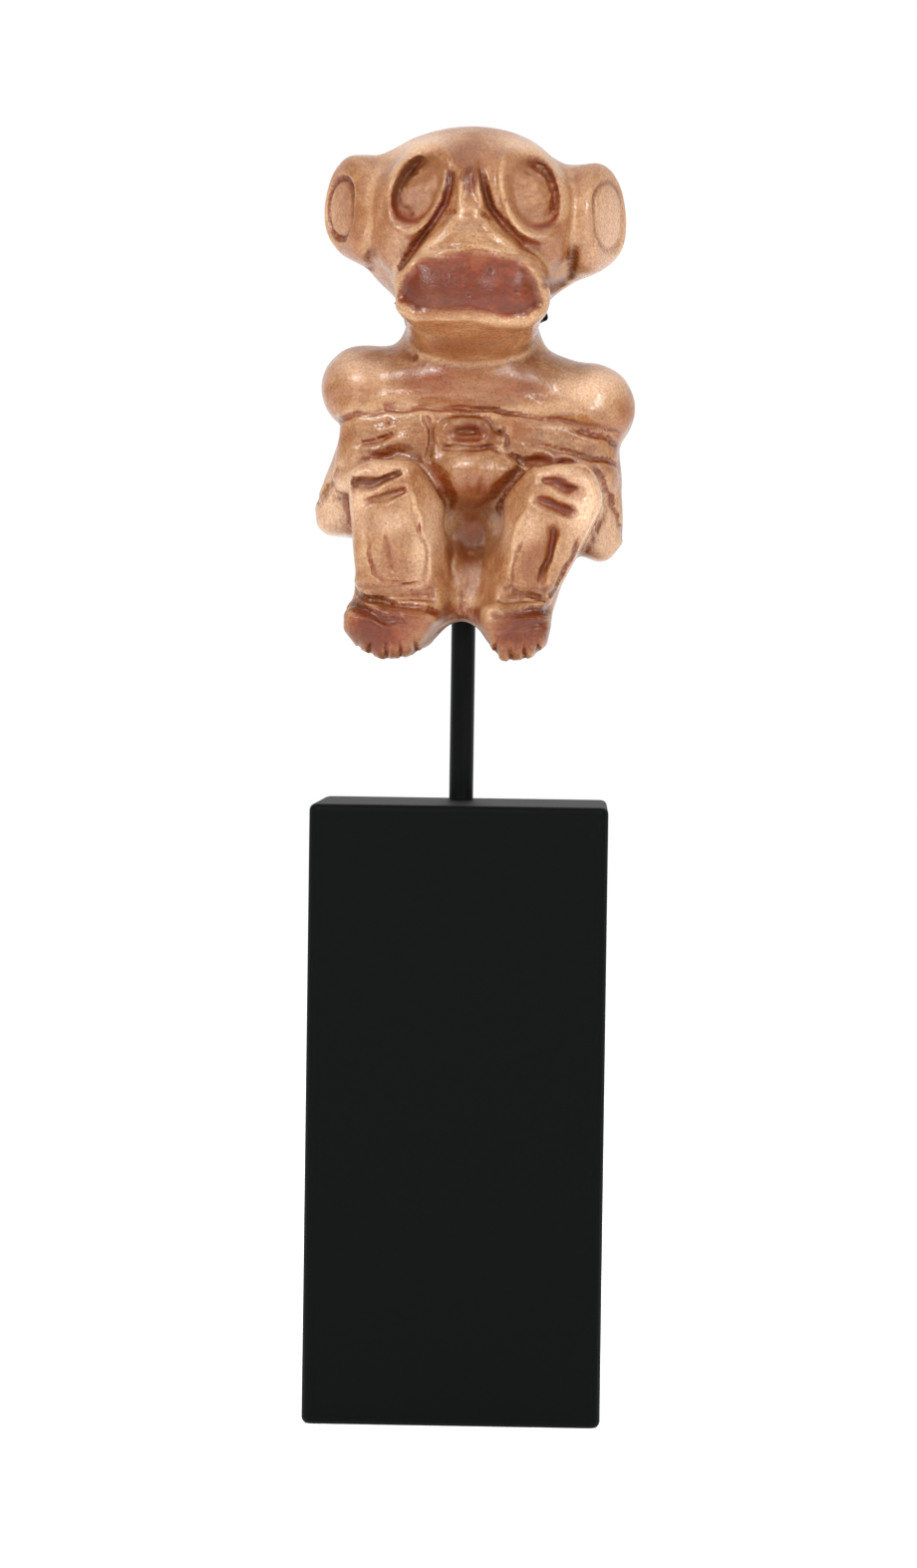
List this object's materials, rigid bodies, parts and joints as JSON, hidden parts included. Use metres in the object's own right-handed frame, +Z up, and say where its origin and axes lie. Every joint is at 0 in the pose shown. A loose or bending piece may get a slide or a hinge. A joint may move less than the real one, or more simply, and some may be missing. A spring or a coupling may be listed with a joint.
{
  "type": "carved bone amulet",
  "caption": "Squatting goggle-eyed figure carved from bone, held by the neck on a black rod in a black block.",
  "frame": {"origin": "middle of the block's underside", "axes": "+Z up, the figure faces -Y, +X to the right of the picture"},
  "size_m": [0.0418, 0.0382, 0.1671],
  "materials": {
    "carved_bone": "bone polished by handling, red-brown dirt in the cuts",
    "painted_steel": "black satin paint",
    "painted_wood": "black satin paint, a little worn at the edges"
  },
  "bodies": {
    "root": {"amulet": "carved_bone", "mount_rod": "painted_steel", "base_block": "painted_wood"}
  },
  "joints": []
}
